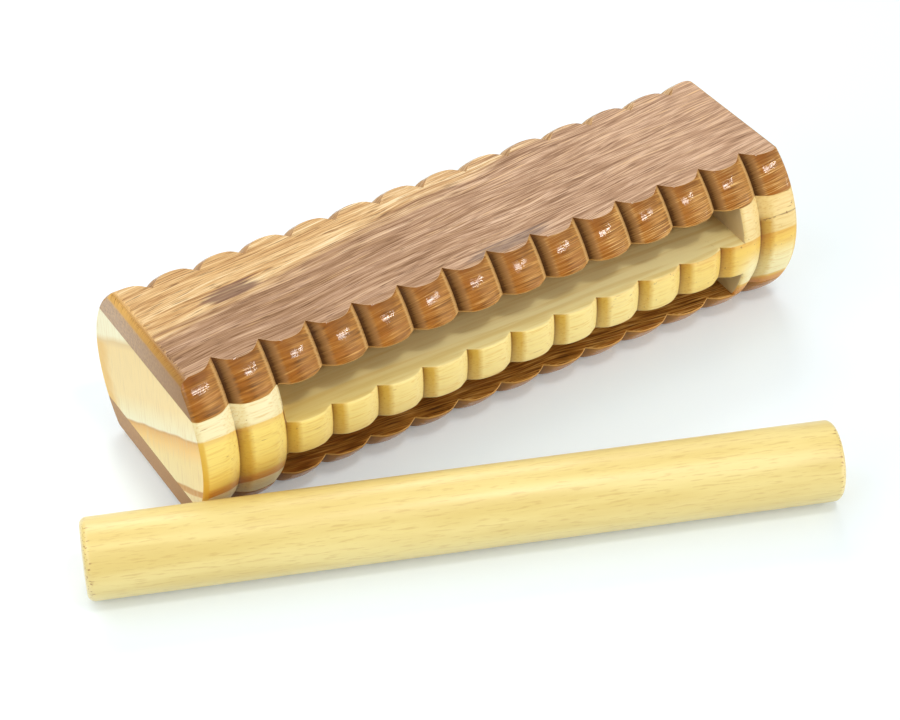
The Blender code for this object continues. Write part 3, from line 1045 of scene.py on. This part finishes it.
def pine_flank(tree, marks, upright, wood):
    """Wood with its left flanks darkened by soaked varnish and by painted shade, strongest at the notches
    and just under the top plate.
    """
    # Painted shade, together with the soaked end grain: darkest at the notch lines, strongest high on the
    # tongue under the top plate, and only on the turned sides.
    shade = add(tree, "ValToRGB", (along_bead(tree, marks.mm),), FLANK_SOAK_AND_SHADE)
    high = add(tree, "MapRange", (marks.z, *FLANK_RISE, 0.6, 1.0))
    tongue = add(tree, "MapRange", (marks.z, *FLANK_STOP, 1.0, 0.3))
    turned = add(tree, "MapRange", (upright, 0.95, 0.8), **SMOOTH)
    strong = add(tree, "Math", (high, tongue), operation="MULTIPLY")
    soak_and_shade = add(tree, "Math", (strong, turned), operation="MULTIPLY")
    return add(tree, "Mix", (soak_and_shade, wood, shade), **STAIN)


def pine_ends(tree, marks, endways, wood):
    """Wood with golden rounds below its pale band, sawn ends, and walls inside the slots painted browner
    with shade.
    """
    end = add(tree, "MapRange", (endways, 0.86, 0.96), **SMOOTH)
    # Painted shade: the walls at the ends of the slots, which the light hardly reaches, are browner.
    inside = add(tree, "MapRange", (marks.reach, *INSIDE_REACH))
    shaded_walls = add(tree, "Mix", (inside, pine_end_grain(tree, marks), colour("#CFB584")), **COLOURS)
    outside = add(tree, "MapRange", (marks.reach, *ROUND_REACH))
    turning = add(tree, "MapRange", (endways, 0.2, 0.5, 0.0, 0.8), **SMOOTH)
    below_pale = add(tree, "MapRange", (marks.season, 0.44, 0.425))
    low_round = add(tree, "Math", (turning, below_pale), operation="MULTIPLY")
    pooled = add(tree, "Math", (low_round, outside), operation="MULTIPLY")
    golden = add(tree, "Mix", (pooled, wood, colour("#E8B840")), **COLOURS)
    return add(tree, "Mix", (end, golden, shaded_walls), **COLOURS)


def pine_slot(tree, marks, upright, wood):
    """Wood with the raw, streaked faces inside the slots."""
    raw = add(tree, "MapRange", (upright, 0.9, 0.98, 0.0, 0.8), **SMOOTH)
    streak = grain(tree, marks.mm, SLOT_STREAK, 3.0)
    streaks = add(tree, "MapRange", (streak, 0.42, 0.66, 0.0, 0.5), **SMOOTH)
    streaked = add(tree, "Mix", (streaks, colour("#FBEBA6"), colour("#DDBA5C")), **COLOURS)
    leftward = add(tree, "MapRange", (marks.x, *SLOT_LEFT, 0.0, 0.55))
    amber = add(tree, "Mix", (leftward, streaked, colour("#E6C056")), **COLOURS)
    return add(tree, "Mix", (raw, wood, amber), **COLOURS)


# %% Pine finish
PINE_RELIEF = 0.1 * MM


def pine_finish():
    """Pine turned on the lathe, under a thin varnish."""
    material, tree, mm, facing = new_finish("varnished_pine")
    marks = pine_marks(tree, mm)
    upright = add(tree, "Math", (facing.outputs["Z"],), operation="ABSOLUTE")
    endways = add(tree, "Math", (facing.outputs["X"],), operation="ABSOLUTE")
    side = pine_side(tree, marks)
    flanks = pine_flank(tree, marks, upright, side)
    ends = pine_ends(tree, marks, endways, flanks)
    slots = pine_slot(tree, marks, upright, ends)
    relief = add(tree, "Math", (grain(tree, mm, LATHE_RING), marks.fibre), operation="ADD")
    bump = add(tree, "Bump", {"Height": relief, "Strength": 0.3, "Distance": PINE_RELIEF})

    # To the eye: a soft, even sheen, since the thin varnish hardly fills the wood.
    shader = add(tree, "BsdfPrincipled", {
        "Base Color": slots, "Roughness": 0.5, "IOR": 1.45, "Normal": bump,
        "Coat Weight": 0.2, "Coat Roughness": 0.25,
    })
    add(tree, "OutputMaterial", (shader,))
    return material


pine = pine_finish()
core.data.materials.append(pine)
print("pine nodes:", len(pine.node_tree.nodes))

# %% [markdown]
# ## Sanded dowel
# The stick is a pale, even wood, sanded and barely sealed. Its fine pores are short dashes along the
# grain. The stick lies at an angle, so its place is first measured from its middle and turned along it.

# %% Dowel finish
# Length and width in mm. Real pores are finer, too fine to show in the render.
BROAD_STREAK = (60, 5)
FLECK = (5, 0.5)
DOWEL_RELIEF = 0.08 * MM
# How far from an end the brown dashes begin, and where they are darkest, in mm.
DASHES_BEGIN = 7
DASHES_DARKEST = 1


def dowel_finish():
    """Pale sanded dowel with short grain dashes and darker end grain."""
    material, tree, mm = new_finish("sanded_dowel")[:3]
    shifted = add(tree, "VectorMath", (mm, tuple(STICK_CENTRE / MM)), operation="SUBTRACT")
    along = add(tree, "Mapping", {"Vector": shifted, "Rotation": (0, 0, -STICK_TURN)})
    broad = add(tree, "MapRange", (grain(tree, along, BROAD_STREAK, 3.0), 0.35, 0.65), **SMOOTH)
    base = add(tree, "Mix", (broad, colour("#F3DD8E"), colour("#E9CF7C")), **COLOURS)
    fleck = grain(tree, along, FLECK)
    flecks = add(tree, "MapRange", (fleck, 0.52, 0.72, 0.0, 0.35), **SMOOTH)
    flecked = add(tree, "Mix", (flecks, base, colour("#CBA052")), **COLOURS)

    # Brown dashes of end grain on the rims.
    place = add(tree, "SeparateXYZ", (along,)).outputs["X"]
    reach = add(tree, "Math", (place,), operation="ABSOLUTE")
    half = STICK_LENGTH / 2 / MM
    rim = add(tree, "MapRange", (reach, half - DASHES_BEGIN, half - DASHES_DARKEST), **SMOOTH)
    dashes = add(tree, "Math", (rim, fleck), operation="MULTIPLY")
    brown = add(tree, "MapRange", (dashes, 0.56, 0.66, 0.0, 0.8), **SMOOTH)
    ended = add(tree, "Mix", (brown, flecked, colour("#B07A35")), **COLOURS)
    bump = add(tree, "Bump", {"Height": fleck, "Strength": 0.2, "Distance": DOWEL_RELIEF})

    # To the eye: a silky, broad sheen along the top of the round.
    shader = add(tree, "BsdfPrincipled", {
        "Base Color": ended, "Roughness": 0.5, "IOR": 1.45, "Normal": bump,
        "Coat Weight": 1.0, "Coat Roughness": 0.36,
    })
    add(tree, "OutputMaterial", (shader,))
    return material


dowel = dowel_finish()
stick.data.materials.append(dowel)
print("dowel nodes:", len(dowel.node_tree.nodes))

# %% [markdown]
# ## Floor and sky
# The object lies on a pale, faintly glossy board. More light would bleach the wood too, so the board glows
# a little instead, only for rays that see it: weakly beside the object, where it has to keep the shadow,
# and up to full white far away. The sky is even and white and fills the shadows. Where the varnish
# mirrors it, it is dimmer, so that the beads stay deep in colour.

# %% Floor
FLOOR_SIZE = 6.0
FLOOR_DROP = 0.05 * MM
# How far from the object, in mm, the glow begins to rise and where it is full, and its strengths there.
GLOW_SPREAD = (350.0, 1500.0)
GLOW_STRENGTH = (0.21, 1.0)

bpy.ops.object.select_all(action="DESELECT")
bpy.ops.mesh.primitive_plane_add(size=FLOOR_SIZE, location=(0, 0, -FLOOR_DROP))
floor = bpy.context.object
floor.name = "floor"

white_board, tree, mm = new_finish("white_board")[:3]
ray = add(tree, "LightPath")
face = add(tree, "BsdfPrincipled", {"Base Color": colour("#DBE5E9"), "Roughness": 0.35, "IOR": 1.4})
seen = add(tree, "Math", (ray.outputs["Is Camera Ray"], ray.outputs["Is Glossy Ray"]), operation="MAXIMUM")
away = add(tree, "VectorMath", (mm,), operation="LENGTH").outputs["Value"]
lift = add(tree, "MapRange", (away, *GLOW_SPREAD, *GLOW_STRENGTH), **SMOOTH)
strength = add(tree, "Math", (seen, lift), operation="MULTIPLY")
glow = add(tree, "Emission", ((1, 1, 1, 1), strength))
both = add(tree, "AddShader", (face, glow))
add(tree, "OutputMaterial", (both,))
floor.data.materials.append(white_board)
print("floor, m:", FLOOR_SIZE)

# %% World
SKY_LIGHT = 0.36
SKY_SEEN = 1.0
SKY_MIRRORED = 0.22

world = bpy.data.worlds.new("studio")
world.use_nodes = True
world.node_tree.nodes.clear()
tree = world.node_tree
ray = add(tree, "LightPath")
mirrored = add(tree, "MapRange", (ray.outputs["Is Glossy Ray"], 0.0, 1.0, SKY_LIGHT, SKY_MIRRORED))
direct = (ray.outputs["Is Camera Ray"], ray.outputs["Is Transmission Ray"])
straight = add(tree, "Math", direct, operation="MAXIMUM")
strength = add(tree, "MapRange", (straight, 0.0, 1.0, mirrored, SKY_SEEN))
sky = add(tree, "Background", ((1, 1, 1, 1), strength))
add(tree, "OutputWorld", (sky,))
bpy.context.scene.world = world
print("sky:", SKY_LIGHT)

# %% [markdown]
# ## Lamps
# A small lamp overhead draws the edge of the plate on the tongue. Two small windows in front on the right
# give each bead its pair of glints, and they are rolled a little, so that the glints lean. Four large soft
# boxes do the rest: a low one on the right fills the front, one lights the left end, and two behind lay a
# sheen on the top and throw the shadow forward.

# %% Lamps
# Name, direction from the object, distance and size in metres, power in watts and roll in degrees.
LAMPS = (
    ("overhead_lamp", (0.05, -0.37, 0.93), 1.2, (0.16, 0.16), 2.9, 0),
    ("near_window", (0.28, -0.70, 0.65), 1.2, (0.30, 0.07), 1.6, -15),
    ("far_window", (0.52, -0.60, 0.61), 1.2, (0.22, 0.04), 0.9, -15),
    ("front_fill", (0.68, -0.73, 0.07), 2.0, (2.2, 0.35), 16.0, 0),
    ("left_fill", (-0.85, -0.15, 0.5), 1.2, (0.9, 0.7), 4.8, 0),
    ("back_left_key", (-0.48, 0.36, 0.80), 1.2, (0.7, 0.5), 2.8, 0),
    ("back_sheen", (0.16, 0.69, 0.71), 1.2, (0.9, 0.4), 5.0, 0),
)

for name, direction, distance, size, power, roll in LAMPS:
    lamp = bpy.data.lights.new(name, "AREA")
    lamp.shape = "RECTANGLE"
    lamp.size, lamp.size_y = size
    lamp.energy = power
    holder = bpy.data.objects.new(name, lamp)
    bpy.context.scene.collection.objects.link(holder)
    toward = Vector(direction).normalized()
    holder.location = toward * distance
    holder.rotation_euler = toward.to_track_quat("Z", "Y").to_euler()
    holder.rotation_euler.rotate_axis("Z", math.radians(roll))
print("lamps:", len(LAMPS))

# %% [markdown]
# ## Camera
# The camera stands where the photograph was taken from: in front on the left, above the block. A long lens
# keeps the beads nearly parallel. Its place and turn were fitted to the notches, the ends and the stick.

# %% Camera
CAMERA_PLACE = Vector((-314.906, -512.520, 521.289)) * MM
CAMERA_RIGHT = Vector((0.85265, -0.52249, 0.0))
CAMERA_FORWARD = Vector((0.39449, 0.64377, -0.65569))
CAMERA_LENS = 111.43
SENSOR = 36.0

view = bpy.data.cameras.new("camera")
view.sensor_fit = "HORIZONTAL"
view.sensor_width = SENSOR
view.lens = CAMERA_LENS
camera = bpy.data.objects.new("camera", view)
bpy.context.scene.collection.objects.link(camera)
backward = -CAMERA_FORWARD.normalized()
right = CAMERA_RIGHT.normalized()
turn = Matrix((right, backward.cross(right), backward)).transposed()
camera.matrix_world = Matrix.Translation(CAMERA_PLACE) @ turn.to_4x4()
bpy.context.scene.camera = camera
bpy.context.scene.view_settings.view_transform = "Standard"
print("lens, mm:", CAMERA_LENS)
